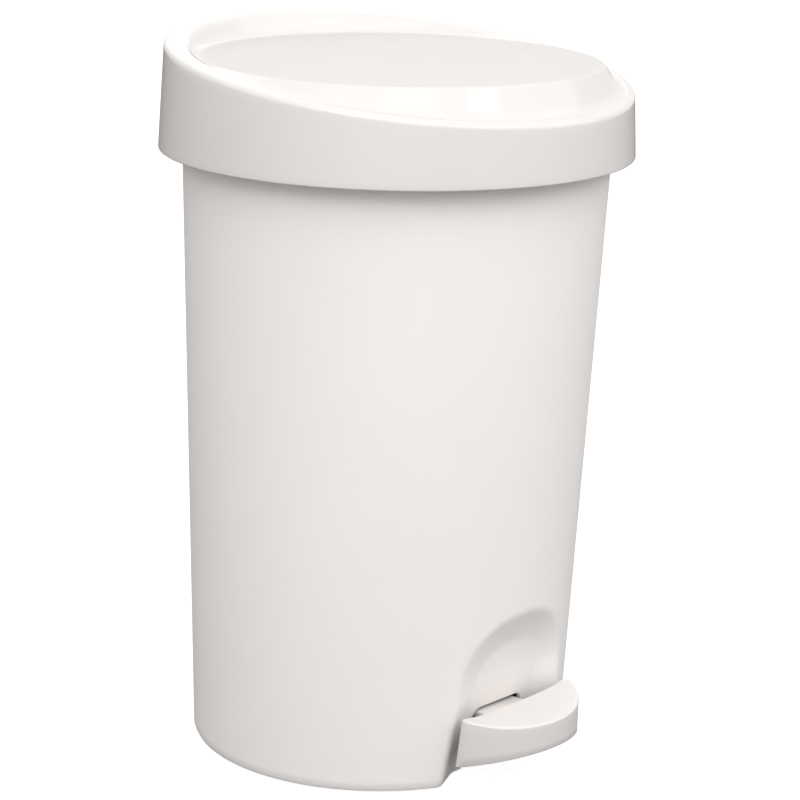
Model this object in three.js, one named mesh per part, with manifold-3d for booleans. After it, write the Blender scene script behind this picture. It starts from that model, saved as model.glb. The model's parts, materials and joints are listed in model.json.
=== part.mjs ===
// Pedal trash can: an oval tapered body with a foot recess, a wedge lid hinged at the back, and an
// inner bucket. Pressing the pedal tips a steel lever on an axle near the base, the lever's tail
// lifts a vertical rod behind the bucket, and the rod's head turns a crank on the lid's hinge.
//
// Millimetres, +Z up, front (pedal) towards -Y. Everything is drawn about the can's own upright
// axis, and the last lines shift the whole can so that the origin is the bottom centre of its box.
import * as THREE from "three";
import { mergeVertices } from "three/addons/utils/BufferGeometryUtils.js";
import Module from "manifold-3d";

const wasm = await Module();
wasm.setup();

// ---------------------------------------------------------------- driving dimensions

const OVAL = 0.957; // depth of every oval section over its width
const LEAN = 0.009; // how far the sections move forward for each millimetre of height
const GAP = 0.3; // clearance between neighbouring pieces
const WALL = 2.5; // moulded wall thickness
const AROUND = 72; // facets round the big shells

// Body: half-width of the outside at the floor, and its growth for each millimetre of height.
const BODY_RADIUS = 121.8;
const BODY_DRAFT = 0.035;
const BODY_BOTTOM = 1.5;
const BODY_TOP = 402;
const RIM_BEAD = 3;

// Lid: the rim lies in a plane that rises to the back, and the disc in its middle is level.
const SKIRT_BOTTOM = 378;
const SKIRT_RADIUS = 150;
const SHOULDER_RADIUS = 147.2;
const SHOULDER_ROUND = 2;
const LEDGE_INNER_RADIUS = 135.4;
const LEDGE_FLARE = -2; // the ledge is this much wider at the back and narrower at the front
const DISC_RADIUS = 127.2;
const DISC_HEIGHT = 433.6;
const RIM_HEIGHT = 431.2; // of the rim plane, at the can's axis
const RIM_SLOPE = 0.126;
const LID_WALL = 2.5;

// Foot recess: the arch where it meets the body's outside, and the smaller arch of its back wall.
const RECESS_OUTER = { foot: 55.5, half: 48, spring: 55, apex: 106.5 };
const RECESS_INNER = { foot: 33, half: 30, spring: 55, apex: 85 };
const RECESS_SQUARENESS = 2.3; // exponent of the arch's superellipse
const RECESS_BACK_Y = -93; // back wall at the floor
const RECESS_BACK_LEAN = 0.2; // and how far forward it comes for each millimetre of height
const SLOT = { half: 23, top: 43, corner: 6.5 }; // open at the bottom

// Pedal and its lever. The axle is the pivot.
const AXLE = { y: -30, z: 30, radius: 2.5, half: 25 };
const PAD = { radius: 57.5, centreY: -92.5, backY: -113, corner: 5.2, top: 45, tipRise: 4, tip: 52 };
const PAD_FOOT = { backY: -111, corner: 4.5 }; // the pad's outline at its lower edge
const PAD_UNDERSIDE = { backZ: 17, slope: 0.27 };
const PAD_WALL = 2.5;
const NECK = { half: 18.5, back: -62, bottom: 36.3, top: 40.6 };
const LEVER = { half: 12, front: -97, rear: 112, top: 36, bottom: 24, sheet: 1.8 };

// Lift rod, upright behind the bucket.
const ROD = { y: 109.5, radius: 2.5, bottom: 40.4, top: 370.6 };
const ROD_FOOT = { half: 6, front: 103, back: 113.4, bottom: 36.4, top: 48 };
const ROD_HEAD = { half: 7, front: 105.5, back: 119.6, bottom: 366, top: 373.6 };
const ROD_GUIDE_HEIGHTS = { rod_guide_lower: 120, rod_guide_upper: 335 };

// Lid hinge, behind the body's top edge.
const HINGE = { y: 132.5, z: 384, pin: 1.9, bore: 2.2, knuckle: 4.8, half: 37 };
const CRANK = { reach: 20.2, restDeg: 20, half: 5, pin: 3, pinHalf: 7, thick: 3 };
const HINGE_WINDOW = { half: 40, top: 390.5 }; // cut in the back of the lid's skirt

// Inner bucket, hanging by its flange on the body's rim.
const BUCKET = { bottom: 64, lowRadius: 106, top: 402.3, highRadius: 128, flange: 138, backY: 103 };
const FLANGE_THICK = 2.3;
const HANDLE = { earX: 131, axisZ: 412, frontY: -118.5, frontZ: 408.9, wire: 2, grip: 4 };

// ---------------------------------------------------------------- solids

// A closed geometry as a manifold solid, with its faces out.
function solid(geometry) {
  const bare = geometry.index ? geometry.toNonIndexed() : geometry.clone();
  for (const name of Object.keys(bare.attributes)) {
    if (name !== "position") bare.deleteAttribute(name);
  }
  const merged = mergeVertices(bare, 1e-4);
  const triVerts = new Uint32Array(merged.index.array);
  const vertProperties = new Float32Array(merged.attributes.position.array);
  const made = new wasm.Manifold(new wasm.Mesh({ numProp: 3, vertProperties, triVerts }));
  if (made.volume() >= 0) return made;
  for (let i = 0; i < triVerts.length; i += 3) {
    [triVerts[i + 1], triVerts[i + 2]] = [triVerts[i + 2], triVerts[i + 1]];
  }
  return new wasm.Manifold(new wasm.Mesh({ numProp: 3, vertProperties, triVerts }));
}

// A manifold solid as a three.js geometry.
function geometryOf(made) {
  const { vertProperties, triVerts, numProp, numVert } = made.getMesh();
  const points = new Float32Array(numVert * 3);
  for (let i = 0; i < numVert; i++) {
    points.set(vertProperties.subarray(i * numProp, i * numProp + 3), i * 3);
  }
  const geometry = new THREE.BufferGeometry();
  geometry.setAttribute("position", new THREE.BufferAttribute(points, 3));
  geometry.setIndex(new THREE.BufferAttribute(new Uint32Array(triVerts), 1));
  geometry.computeVertexNormals();
  return geometry;
}

function union(...solids) {
  return solids.reduce((a, b) => a.add(b));
}

function box(x, y, z) {
  const size = [x, y, z].map(([low, high]) => high - low);
  const middle = [x, y, z].map(([low, high]) => (low + high) / 2);
  return solid(new THREE.BoxGeometry(...size).translate(...middle));
}

// The same box on both sides of the middle, x measured outwards.
function mirroredBoxes(x, y, z) {
  return union(box(x, y, z), box([-x[1], -x[0]], y, z));
}

function rodAlongX(radius, [from, to], y, z, facets = 24) {
  const geometry = new THREE.CylinderGeometry(radius, radius, to - from, facets);
  geometry.rotateZ(Math.PI / 2);
  return solid(geometry.translate((from + to) / 2, y, z));
}

function mirroredRods(radius, [from, to], y, z, facets = 24) {
  return union(
    rodAlongX(radius, [from, to], y, z, facets),
    rodAlongX(radius, [-to, -from], y, z, facets),
  );
}

function post(radius, [from, to], x, y, facets = 20) {
  const geometry = new THREE.CylinderGeometry(radius, radius, to - from, facets);
  geometry.rotateX(Math.PI / 2);
  return solid(geometry.translate(x, y, (from + to) / 2));
}

// A profile of [radius, height] turned about Z. It starts and ends on the axis, or closes on itself.
function turned(profile, facets) {
  const points = profile.map(([radius, height]) => new THREE.Vector2(radius, height));
  return new THREE.LatheGeometry(points, facets).rotateX(Math.PI / 2);
}

// Squeezes a round shell to the can's oval section and leans it forward with height.
function ovalled(geometry) {
  const shape = new THREE.Matrix4().set(1, 0, 0, 0, 0, OVAL, -LEAN, 0, 0, 0, 1, 0, 0, 0, 0, 1);
  return geometry.applyMatrix4(shape);
}

function bodyRadius(z) {
  return BODY_RADIUS + BODY_DRAFT * z;
}

// The body's outer surface, or one offset from it, between two heights.
function bodyCone(offset, from, to) {
  const low = bodyRadius(from) + offset;
  const high = bodyRadius(to) + offset;
  const profile = [[0, from], [low, from], [high, to], [0, to]];
  return solid(ovalled(turned(profile, AROUND)));
}

// A closed solid through rings of points that have equal counts. Its end caps are fans.
function loft(rings) {
  const count = rings[0].length;
  const points = rings.flat().flatMap((p) => [p.x, p.y, p.z]);
  const faces = [];
  for (let k = 0; k < rings.length - 1; k++) {
    for (let i = 0; i < count; i++) {
      const a = k * count + i;
      const b = k * count + ((i + 1) % count);
      faces.push(a, b, b + count, a, b + count, a + count);
    }
  }
  const last = (rings.length - 1) * count;
  for (let i = 1; i < count - 1; i++) {
    faces.push(0, i + 1, i, last, last + i, last + i + 1);
  }
  const geometry = new THREE.BufferGeometry();
  geometry.setAttribute("position", new THREE.Float32BufferAttribute(points, 3));
  geometry.setIndex(faces);
  return geometry;
}

// ---------------------------------------------------------------- scene helpers

const materials = {
  shell: { color: 0xefedea, roughness: 0.5, metalness: 0 },
  lid: { color: 0xf0eeeb, roughness: 0.3, metalness: 0 },
  inner: { color: 0xd9d8d5, roughness: 0.55, metalness: 0 },
  steel: { color: 0xb4b7ba, roughness: 0.35, metalness: 1 },
  rubber: { color: 0x8b8d8f, roughness: 0.9, metalness: 0 },
};
for (const [name, look] of Object.entries(materials)) {
  materials[name] = new THREE.MeshStandardMaterial({ name, ...look });
}

function named(name, made, material) {
  const mesh = new THREE.Mesh(geometryOf(made), materials[material]);
  mesh.name = name;
  return mesh;
}

function groupOf(...members) {
  const group = new THREE.Group();
  group.add(...members);
  return group;
}

// A pan-head screw standing on its head, shank up +Z, with the head's top face at height 0.
function screwSolid(head, shank, headHeight, length) {
  const profile = [
    [0, 0], [head * 0.8, 0], [head, headHeight * 0.4], [head, headHeight],
    [shank, headHeight], [shank, length - shank], [0, length],
  ];
  return solid(turned(profile, 16));
}

// ---------------------------------------------------------------- body

// One arch of the foot recess, as points in X and Z from its left foot over the top to its right.
function archOutline({ foot, half, spring, apex }, below, grow, steps = 20) {
  const points = [new THREE.Vector2(-foot - grow, -below)];
  for (let i = 0; i <= steps; i++) {
    const angle = Math.PI * (1 - i / steps);
    const across = Math.sign(Math.cos(angle)) * Math.abs(Math.cos(angle)) ** (2 / RECESS_SQUARENESS);
    const up = Math.sin(angle) ** (2 / RECESS_SQUARENESS);
    const height = apex + grow - spring;
    points.push(new THREE.Vector2((half + grow) * across, spring + height * up));
  }
  points.push(new THREE.Vector2(foot + grow, -below));
  return points;
}

function bodyFrontY(x, z) {
  const radius = bodyRadius(z);
  return -OVAL * Math.sqrt(radius * radius - x * x) - LEAN * z;
}

// The solid that hollows out the foot recess. grow thickens it for the wall behind the recess.
function recessTool(grow) {
  const below = 10;
  const beyond = 0.7; // how far past the body's outside the sloping sides run on
  const front = -150;
  const back = archOutline(RECESS_INNER, below, grow).map(
    (p) => new THREE.Vector3(p.x, RECESS_BACK_Y + grow - RECESS_BACK_LEAN * p.y, p.y),
  );
  const mouth = archOutline(RECESS_OUTER, below, grow).map(
    (p) => new THREE.Vector3(p.x, bodyFrontY(p.x, p.y), p.y),
  );
  const outside = mouth.map((p, i) => p.clone().lerp(back[i], -beyond));
  const end = outside.map((p) => new THREE.Vector3(p.x, front, p.z));
  return solid(loft([back, mouth, outside, end]));
}

// The slot in the recess's back wall that the pedal's neck moves in.
function slotTool() {
  const { half, top, corner } = SLOT;
  const bottom = -10;
  const outline = new THREE.Shape();
  outline.moveTo(-half, bottom);
  outline.lineTo(half, bottom);
  outline.lineTo(half, top - corner);
  outline.absarc(half - corner, top - corner, corner, 0, Math.PI / 2);
  outline.absarc(corner - half, top - corner, corner, Math.PI / 2, Math.PI);
  const depth = 40;
  const geometry = new THREE.ExtrudeGeometry(outline, { depth, bevelEnabled: false, curveSegments: 4 });
  return solid(geometry.rotateX(Math.PI / 2).translate(0, -80, 0));
}

const BASE_CORNERS = {
  front_left: [-78, -74],
  front_right: [78, -74],
  rear_left: [-78, 76],
  rear_right: [78, 76],
};
const BASE_PLATE = { bottom: 4, top: 7 };
const BASE_SCREW = { head: 3.8, shank: 1.9, hole: 2.3, seat: 4.3, length: 17 };
const BOSS_OUT = 1.03; // the body's screw bosses stand at the base's corners times this
const CRANK_NOTCH = { half: 10, bottom: 377.4 };
const BRACKET_SCREW = { x: 31.5, z: 391.5, hole: 1.9 };

function outerBody() {
  const lip = 1.2;
  const profile = [
    [bodyRadius(BODY_BOTTOM) - WALL, BODY_BOTTOM],
    [bodyRadius(BODY_BOTTOM) - lip, BODY_BOTTOM],
    [bodyRadius(4), 4],
    [bodyRadius(397), 397],
    [bodyRadius(398) + RIM_BEAD, 398],
    [bodyRadius(BODY_TOP) + RIM_BEAD, BODY_TOP],
    [bodyRadius(BODY_TOP) - WALL, BODY_TOP],
  ];
  const tube = solid(ovalled(turned([...profile, profile[0]], AROUND)));
  const recess = recessTool(0);
  const inside = bodyCone(-0.5, BODY_BOTTOM, 130);
  const recessWall = recessTool(WALL).intersect(inside);
  const bosses = Object.values(BASE_CORNERS).map(([x, y]) =>
    post(8, [BASE_PLATE.top + GAP, 24], x * BOSS_OUT, y * BOSS_OUT),
  );
  const pilots = Object.values(BASE_CORNERS).map(([x, y]) =>
    post(BASE_SCREW.hole, [0, 22], x * BOSS_OUT, y * BOSS_OUT),
  );
  const notch = box([-CRANK_NOTCH.half, CRANK_NOTCH.half], [112, 140], [CRANK_NOTCH.bottom, 410]);
  const screwHoles = [-1, 1].map((side) => bracketScrewHole(side, [115, 128]));
  return union(tube, recessWall, union(...bosses).intersect(inside))
    .subtract(recess)
    .subtract(slotTool())
    .subtract(union(notch, ...pilots, ...screwHoles));
}

function bracketScrewHole(side, [from, to]) {
  const { x, z, hole } = BRACKET_SCREW;
  const geometry = new THREE.CylinderGeometry(hole, hole, to - from, 12);
  return solid(geometry.translate(side * x, (from + to) / 2, z));
}

// ---------------------------------------------------------------- base

const FOOT = { radius: 8.5, stem: 2.6, top: 10 };
const FOOT_IN = 0.86; // the feet stand at the base's corners times this
const PEDESTAL = { inner: 15, outer: 22.5, front: -39, back: -21, top: 36 };

function basePlate() {
  const { bottom, top } = BASE_PLATE;
  const plate = bodyCone(-WALL - 0.7, bottom, top);
  const ribs = union(
    mirroredBoxes([34, 36.5], [-78, 88], [top - 1, top + 7]),
    ...[-52, 8, 62].map((y) => box([-98, 98], [y, y + 2.5], [top - 1, top + 7])),
  );
  const pedestals = mirroredBoxes(
    [PEDESTAL.inner, PEDESTAL.outer], [PEDESTAL.front, PEDESTAL.back], [top - 1, PEDESTAL.top],
  );
  const seat = AXLE.radius + GAP;
  const journals = mirroredRods(seat, [PEDESTAL.inner - 1, PEDESTAL.outer + 3], AXLE.y, AXLE.z);
  const dropIns = mirroredBoxes(
    [PEDESTAL.inner - 1, PEDESTAL.outer + 3],
    [AXLE.y - seat, AXLE.y + seat],
    [AXLE.z, PEDESTAL.top + 1],
  );
  const holes = Object.values(BASE_CORNERS).flatMap(([x, y]) => [
    post(BASE_SCREW.hole, [0, 20], x * BOSS_OUT, y * BOSS_OUT),
    post(BASE_SCREW.seat, [0, bottom + 1], x * BOSS_OUT, y * BOSS_OUT),
    post(FOOT.stem + GAP, [0, 20], x * FOOT_IN, y * FOOT_IN),
  ]);
  return union(plate, ribs.intersect(bodyCone(-WALL - 12, bottom, 20)), pedestals)
    .subtract(recessTool(WALL + 0.8))
    .subtract(union(journals, dropIns, ...holes));
}

function axleClip() {
  const fit = AXLE.radius - 0.2;
  const plug = box(
    [PEDESTAL.inner + GAP, PEDESTAL.outer - GAP],
    [AXLE.y - fit, AXLE.y + fit],
    [AXLE.z + AXLE.radius + GAP, PEDESTAL.top + 1],
  );
  const cap = box(
    [PEDESTAL.inner, PEDESTAL.outer],
    [PEDESTAL.front, PEDESTAL.back],
    [PEDESTAL.top + GAP, PEDESTAL.top + 2.6],
  );
  return union(plug, cap);
}

function footSolid() {
  const top = BASE_PLATE.bottom - GAP;
  const profile = [
    [0, 0], [FOOT.radius - 0.8, 0], [FOOT.radius, 0.8], [FOOT.radius, top],
    [FOOT.stem, top], [FOOT.stem, FOOT.top - 1], [FOOT.stem - 1, FOOT.top], [0, FOOT.top],
  ];
  return solid(turned(profile, 20));
}

function baseGroup() {
  const plate = named("base_plate", basePlate(), "inner");
  const axle = named(
    "lever_axle",
    rodAlongX(AXLE.radius, [-AXLE.half, AXLE.half], AXLE.y, AXLE.z),
    "steel",
  );
  const clip = axleClip();
  const clips = [
    named("axle_clip_right", clip, "inner"),
    named("axle_clip_left", clip.scale([-1, 1, 1]), "inner"),
  ];
  const screw = screwSolid(BASE_SCREW.head, BASE_SCREW.shank, 2.4, BASE_SCREW.length);
  const foot = footSolid();
  const group = groupOf(plate, axle, ...clips);
  for (const [corner, [x, y]] of Object.entries(BASE_CORNERS)) {
    const screwMesh = named("base_screw_" + corner, screw, "steel");
    const headHeight = 2.4;
    const screwBottom = BASE_PLATE.bottom + 1 - GAP - headHeight;
    screwMesh.position.set(x * BOSS_OUT, y * BOSS_OUT, screwBottom);
    const footMesh = named("foot_" + corner, foot, "rubber");
    footMesh.position.set(x * FOOT_IN, y * FOOT_IN, 0);
    group.add(screwMesh, footMesh);
  }
  return group;
}

// ---------------------------------------------------------------- pedal and lever

// The pad's outline seen from above, with a round front, a straight back and eased corners. Down is
// 0 at the pad's top and 1 at its lower edge.
function padOutline(inset, down) {
  const { radius, centreY, backY } = PAD;
  const corner = Math.max(1, PAD.corner + (PAD_FOOT.corner - PAD.corner) * down - inset);
  const reach = radius - inset;
  const back = backY + (PAD_FOOT.backY - backY) * down - inset;
  const towards = back - corner - centreY; // of the corner arcs' centres, from the pad's centre
  const side = Math.sqrt((reach - corner) ** 2 - towards ** 2);
  const angle = Math.atan2(-towards, side);
  const outline = new THREE.Shape();
  outline.moveTo(-side, back);
  outline.absarc(-side, back - corner, corner, Math.PI / 2, Math.PI + angle, false);
  outline.absarc(0, centreY, reach, Math.PI + angle, 2 * Math.PI - angle, false);
  outline.absarc(side, back - corner, corner, 2 * Math.PI - angle, 2.5 * Math.PI, false);
  return outline;
}

function padBlock(inset, from, to) {
  const rings = [from, to].map((z) => {
    const down = (PAD.top - z) / (PAD.top - PAD_UNDERSIDE.backZ);
    const points = padOutline(inset, down).getPoints(16);
    const apart = points.filter((p, i) => i === 0 || p.distanceTo(points[i - 1]) > 0.001);
    return apart.map((p) => new THREE.Vector3(p.x, p.y, z));
  });
  return solid(loft(rings));
}

// Everything above the pad's dished top, which climbs towards its two tips.
function abovePad(drop) {
  const steps = 24;
  const outline = new THREE.Shape();
  outline.moveTo(-70, 80);
  for (let i = 0; i <= steps; i++) {
    const x = -70 + (140 * i) / steps;
    const rise = PAD.tipRise * Math.min(1.6, Math.abs(x / PAD.tip) ** 4);
    outline.lineTo(x, PAD.top + rise - drop);
  }
  outline.lineTo(70, 80);
  const geometry = new THREE.ExtrudeGeometry(outline, { depth: 80, bevelEnabled: false });
  return solid(geometry.rotateX(Math.PI / 2).translate(0, -90, 0));
}

// Everything under the pad's sloping lower edge.
function belowPad() {
  const { backZ, slope } = PAD_UNDERSIDE;
  const far = 60;
  const outline = new THREE.Shape();
  outline.moveTo(PAD.backY + 20, -20);
  outline.lineTo(PAD.backY + 20, backZ - 20 * slope);
  outline.lineTo(PAD.backY - far, backZ + far * slope);
  outline.lineTo(PAD.backY - far, -20);
  const geometry = new THREE.ExtrudeGeometry(outline, { depth: 160, bevelEnabled: false });
  // The outline's X is the can's Y, and its Y is the can's Z.
  const turn = new THREE.Matrix4().set(0, 0, 1, -80, 1, 0, 0, 0, 0, 1, 0, 0, 0, 0, 0, 1);
  return solid(geometry.applyMatrix4(turn));
}

function pedalPad() {
  const shell = padBlock(0, 10, 60).subtract(abovePad(0)).subtract(belowPad());
  const hollow = padBlock(PAD_WALL, 0, 60).subtract(abovePad(PAD_WALL));
  const ribs = union(
    ...[-26, -1, 24].map((x) => box([x, x + 2], [-160, -100], [30, 44])),
    box([-70, 70], [-131, -129], [30, 44]),
  ).intersect(padBlock(PAD_WALL / 2, 0, 44));
  const neck = box([-NECK.half, NECK.half], [PAD.backY - PAD_WALL, NECK.back], [NECK.bottom, NECK.top]);
  const gussets = mirroredBoxes([14, 16.5], [PAD.backY - 16, PAD.backY - 1], [NECK.bottom - 6, NECK.top]);
  const holes = PEDAL_SCREW_YS.map((y) => post(2.1, [20, 60], 0, y));
  return union(shell.subtract(hollow), ribs, neck, gussets).subtract(union(...holes));
}

const PEDAL_SCREW_YS = [-86, -71];

// A folded steel channel, deepest at the axle, whose tail reaches back under the lift rod.
function leverArm() {
  const { half, front, rear, top, bottom, sheet } = LEVER;
  const plate = box([-half, half], [front, rear], [top - sheet, top]);
  const side = new THREE.Shape();
  side.moveTo(front, top);
  side.lineTo(front, top - 6);
  side.lineTo(AXLE.y - 16, bottom);
  side.lineTo(AXLE.y + 16, bottom);
  side.lineTo(rear, top - 5);
  side.lineTo(rear, top);
  const cheek = new THREE.ExtrudeGeometry(side, { depth: sheet, bevelEnabled: false });
  const turn = new THREE.Matrix4().set(0, 0, 1, 0, 1, 0, 0, 0, 0, 1, 0, 0, 0, 0, 0, 1);
  cheek.applyMatrix4(turn);
  const cheeks = [-half, half - sheet].map((x) => solid(cheek.clone().translate(x, 0, 0)));
  const bore = rodAlongX(AXLE.radius + GAP, [-half - 1, half + 1], AXLE.y, AXLE.z);
  const holes = PEDAL_SCREW_YS.map((y) => post(2.1, [20, 60], 0, y));
  return union(plate, ...cheeks).subtract(union(bore, ...holes));
}

function pedalGroup() {
  const pad = named("pedal_pad", pedalPad(), "shell");
  const lever = named("lever_arm", leverArm(), "steel");
  const screw = screwSolid(3.5, 1.8, 2, 11).rotate([180, 0, 0]);
  const screws = PEDAL_SCREW_YS.map((y, i) => {
    const mesh = named(["pedal_screw_front", "pedal_screw_rear"][i], screw, "steel");
    mesh.position.set(0, y, NECK.top + GAP + 2);
    return mesh;
  });
  return groupOf(pad, lever, ...screws);
}

// ---------------------------------------------------------------- lift rod and its guides

function rodGroup() {
  const { y, radius, bottom, top } = ROD;
  const wire = post(radius, [bottom, top], 0, y, 16);
  const socket = radius + GAP;
  const foot = box(
    [-ROD_FOOT.half, ROD_FOOT.half], [ROD_FOOT.front, ROD_FOOT.back], [ROD_FOOT.bottom, ROD_FOOT.top],
  ).subtract(post(socket, [bottom - GAP, ROD_FOOT.top + 1], 0, y, 16));
  const head = box(
    [-ROD_HEAD.half, ROD_HEAD.half], [ROD_HEAD.front, ROD_HEAD.back], [ROD_HEAD.bottom, ROD_HEAD.top],
  ).subtract(post(socket, [ROD_HEAD.bottom - 1, top + GAP], 0, y, 16));
  return groupOf(
    named("lift_rod", wire, "steel"),
    named("rod_foot", foot, "inner"),
    named("rod_head", head, "inner"),
  );
}

// Each guide is a block against the inside of the body's back wall, with the rod running through.
function rodGuide(from) {
  const to = from + 15;
  const block = box([-9, 9], [ROD.y - 3.9, 135], [from, to]);
  const bore = post(ROD.radius + 0.5, [from - 1, to + 1], 0, ROD.y);
  return block.intersect(bodyCone(-WALL - GAP, from - 1, to + 1)).subtract(bore);
}

function guides() {
  return Object.entries(ROD_GUIDE_HEIGHTS).map(([name, height]) =>
    named(name, rodGuide(height), "inner"),
  );
}

// ---------------------------------------------------------------- hinge

const BODY_KNUCKLE = [27.5, 35.5];
const LID_KNUCKLE = [18.5, 27];

function hingeBracket() {
  const { y, z, bore, knuckle } = HINGE;
  const back = box([-37, 37], [116, 129.5], [372, 396.5]);
  const knuckles = mirroredRods(knuckle, BODY_KNUCKLE, y, z);
  const webs = mirroredBoxes(BODY_KNUCKLE, [122, y], [z - knuckle, z + knuckle]);
  const lidSweep = mirroredRods(knuckle + 0.8, [LID_KNUCKLE[0] - 0.5, LID_KNUCKLE[1] + 0.25], y, z);
  const middle = box([-9.6, 9.6], [110, 140], [CRANK_NOTCH.bottom, 400]);
  const pin = rodAlongX(bore, [-40, 40], y, z);
  const holes = [-1, 1].map((side) => bracketScrewHole(side, [110, 127.5]));
  return union(back, knuckles, webs)
    .subtract(bodyCone(GAP, 370, 400))
    .subtract(union(lidSweep, middle, pin, ...holes));
}

function bracketScrew(side) {
  const screw = screwSolid(3.2, 1.5, 1.8, 8).rotate([-90, 0, 0]);
  const mesh = named(side < 0 ? "bracket_screw_left" : "bracket_screw_right", screw, "steel");
  mesh.position.set(side * BRACKET_SCREW.x, 117.3, BRACKET_SCREW.z);
  return mesh;
}

function hingePin() {
  return rodAlongX(HINGE.pin, [-HINGE.half, HINGE.half], HINGE.y, HINGE.z);
}

// ---------------------------------------------------------------- lid

// A ring profile turned round the can, each point [radius, height, tilt, flare]: tilt 1 lies in the
// sloping rim plane and 0 is level, and flare widens the back and narrows the front.
function tilted(profile) {
  const geometry = turned(profile, AROUND);
  const position = geometry.attributes.position;
  for (let i = 0; i < position.count; i++) {
    const [radius, height, tilt = 0, flare = 0] = profile[i % profile.length];
    const x = position.getX(i);
    const y = position.getY(i);
    const size = radius > 0 ? (radius + (flare * y) / radius) / radius : 1;
    position.setXYZ(i, x * size, y * size, height + tilt * RIM_SLOPE * OVAL * y);
  }
  return ovalled(geometry);
}

// The inside of the skirt, drawn in by clear.
function skirtInside(clear) {
  const low = SKIRT_RADIUS - LID_WALL - clear;
  const high = SHOULDER_RADIUS - LID_WALL - clear;
  const top = RIM_HEIGHT - LID_WALL;
  const below = SKIRT_BOTTOM - 10;
  const profile = [[0, below], [low, below], [low, SKIRT_BOTTOM], [high, top, 1], [0, top, 1]];
  return solid(tilted(profile));
}

const LID_SCREW = { x: 20, y: 129.3, boss: 4, hole: 1.7, head: 3.2, flange: 432.5, seat: 435.7 };

function lidShell() {
  const rim = RIM_HEIGHT;
  const under = 2.2; // the sloping wall's underside is shifted to keep its thickness
  const profile = [
    [0, DISC_HEIGHT],
    [DISC_RADIUS, DISC_HEIGHT],
    [LEDGE_INNER_RADIUS, rim, 1, LEDGE_FLARE],
    [SHOULDER_RADIUS - SHOULDER_ROUND, rim, 1],
    [SHOULDER_RADIUS - SHOULDER_ROUND * 0.3, rim - SHOULDER_ROUND * 0.3, 1],
    [SHOULDER_RADIUS, rim - SHOULDER_ROUND, 1],
    [SKIRT_RADIUS, SKIRT_BOTTOM],
    [SKIRT_RADIUS - LID_WALL, SKIRT_BOTTOM],
    [SHOULDER_RADIUS - LID_WALL, rim - LID_WALL, 1],
    [LEDGE_INNER_RADIUS, rim - LID_WALL, 1, LEDGE_FLARE + under],
    [DISC_RADIUS, DISC_HEIGHT - LID_WALL, 0, under],
    [0, DISC_HEIGHT - LID_WALL],
  ];
  const shell = solid(tilted(profile));
  const window = box([-HINGE_WINDOW.half, HINGE_WINDOW.half], [120, 160], [370, HINGE_WINDOW.top]);
  const bosses = [-1, 1].map((side) =>
    post(LID_SCREW.boss, [LID_SCREW.seat + GAP, 446.8], side * LID_SCREW.x, LID_SCREW.y),
  );
  const pilots = [-1, 1].map((side) =>
    post(LID_SCREW.hole, [430, 443.5], side * LID_SCREW.x, LID_SCREW.y, 12),
  );
  return union(shell, ...bosses).subtract(union(window, ...pilots));
}

// The hinge block carries the lid's knuckles and the crank that the rod pushes up.
function lidHingeBlock() {
  const { y, z, bore, knuckle } = HINGE;
  const plate = union(
    box([-LID_KNUCKLE[1], LID_KNUCKLE[1]], [130.6, 145], [z + 4.5, LID_SCREW.seat]),
    mirroredBoxes(LID_KNUCKLE, [130.6, 137], [z + 1, z + 5]),
    box([-CRANK.half, CRANK.half], [128.5, 136], [z, z + 5.5]),
  ).intersect(skirtInside(GAP));
  const flange = box([-LID_KNUCKLE[1], LID_KNUCKLE[1]], [124.6, 132], [LID_SCREW.flange, LID_SCREW.seat]);
  const knuckles = mirroredRods(knuckle, LID_KNUCKLE, y, z);
  const hub = rodAlongX(knuckle, [-CRANK.half, CRANK.half], y, z);
  const tilt = THREE.MathUtils.degToRad(CRANK.restDeg);
  const arm = new THREE.BoxGeometry(2 * CRANK.half, CRANK.reach, CRANK.thick);
  arm.translate(0, -CRANK.reach / 2, 0).rotateX(tilt).translate(0, y, z);
  const pinY = y - CRANK.reach * Math.cos(tilt);
  const pinZ = z - CRANK.reach * Math.sin(tilt);
  const crankPin = rodAlongX(CRANK.pin, [-CRANK.pinHalf, CRANK.pinHalf], pinY, pinZ);
  const pinBore = rodAlongX(bore, [-40, 40], y, z);
  const holes = [-1, 1].flatMap((side) => [
    post(LID_SCREW.hole, [425, 440], side * LID_SCREW.x, LID_SCREW.y, 12),
    post(LID_SCREW.head + GAP, [429, LID_SCREW.flange], side * LID_SCREW.x, LID_SCREW.y),
  ]);
  return union(plate, flange, knuckles, hub, solid(arm), crankPin).subtract(union(pinBore, ...holes));
}

const BUFFER = { radius: 4, around: 138.5, angleDeg: 30, bottom: 405.1 };

function lidBuffer(side) {
  const angle = THREE.MathUtils.degToRad(BUFFER.angleDeg);
  const x = side * BUFFER.around * Math.sin(angle);
  const depth = -OVAL * BUFFER.around * Math.cos(angle);
  const top = RIM_HEIGHT - LID_WALL + RIM_SLOPE * (depth - BUFFER.radius) - GAP;
  const y = depth - LEAN * RIM_HEIGHT;
  const pad = post(BUFFER.radius, [BUFFER.bottom, top], x, y, 16);
  return named(side < 0 ? "lid_buffer_left" : "lid_buffer_right", pad, "rubber");
}

function lidGroup() {
  const screw = screwSolid(LID_SCREW.head, 1.4, 2, 12);
  const screws = [-1, 1].map((side) => {
    const mesh = named(side < 0 ? "lid_screw_left" : "lid_screw_right", screw, "steel");
    mesh.position.set(side * LID_SCREW.x, LID_SCREW.y, LID_SCREW.flange - GAP - 2);
    return mesh;
  });
  return groupOf(
    named("lid", lidShell(), "lid"),
    named("lid_hinge_block", lidHingeBlock(), "inner"),
    ...screws,
    lidBuffer(-1),
    lidBuffer(1),
  );
}

// ---------------------------------------------------------------- inner bucket

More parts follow.
